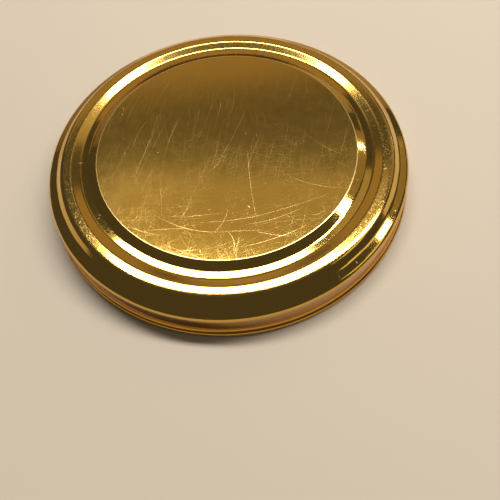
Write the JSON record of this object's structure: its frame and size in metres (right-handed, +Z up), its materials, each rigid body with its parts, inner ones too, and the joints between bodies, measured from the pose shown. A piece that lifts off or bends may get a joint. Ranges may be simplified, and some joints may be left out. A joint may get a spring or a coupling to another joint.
{
  "type": "twist-off jar lid",
  "caption": "Round twist-off jar lid pressed from gold-lacquered sheet, with a flat panel, a stepped sealing bead, a rolled edge with inward lugs and an inner sealing ring.",
  "frame": {"origin": "on the lid's axis, at the plane that the rolled edge rests on", "axes": "+Z up along the axis, out of the flat panel; a lug lies on +X"},
  "size_m": [0.0856, 0.0856, 0.01],
  "materials": {
    "gold_lacquer": "clear gold lacquer over bright tinplate, glossy, with fine scratches and worn spots",
    "seal_compound": "soft pale grey compound with a satin skin"
  },
  "bodies": {
    "root": {"lid_shell": "gold_lacquer", "sealing_ring": "seal_compound"}
  },
  "joints": []
}
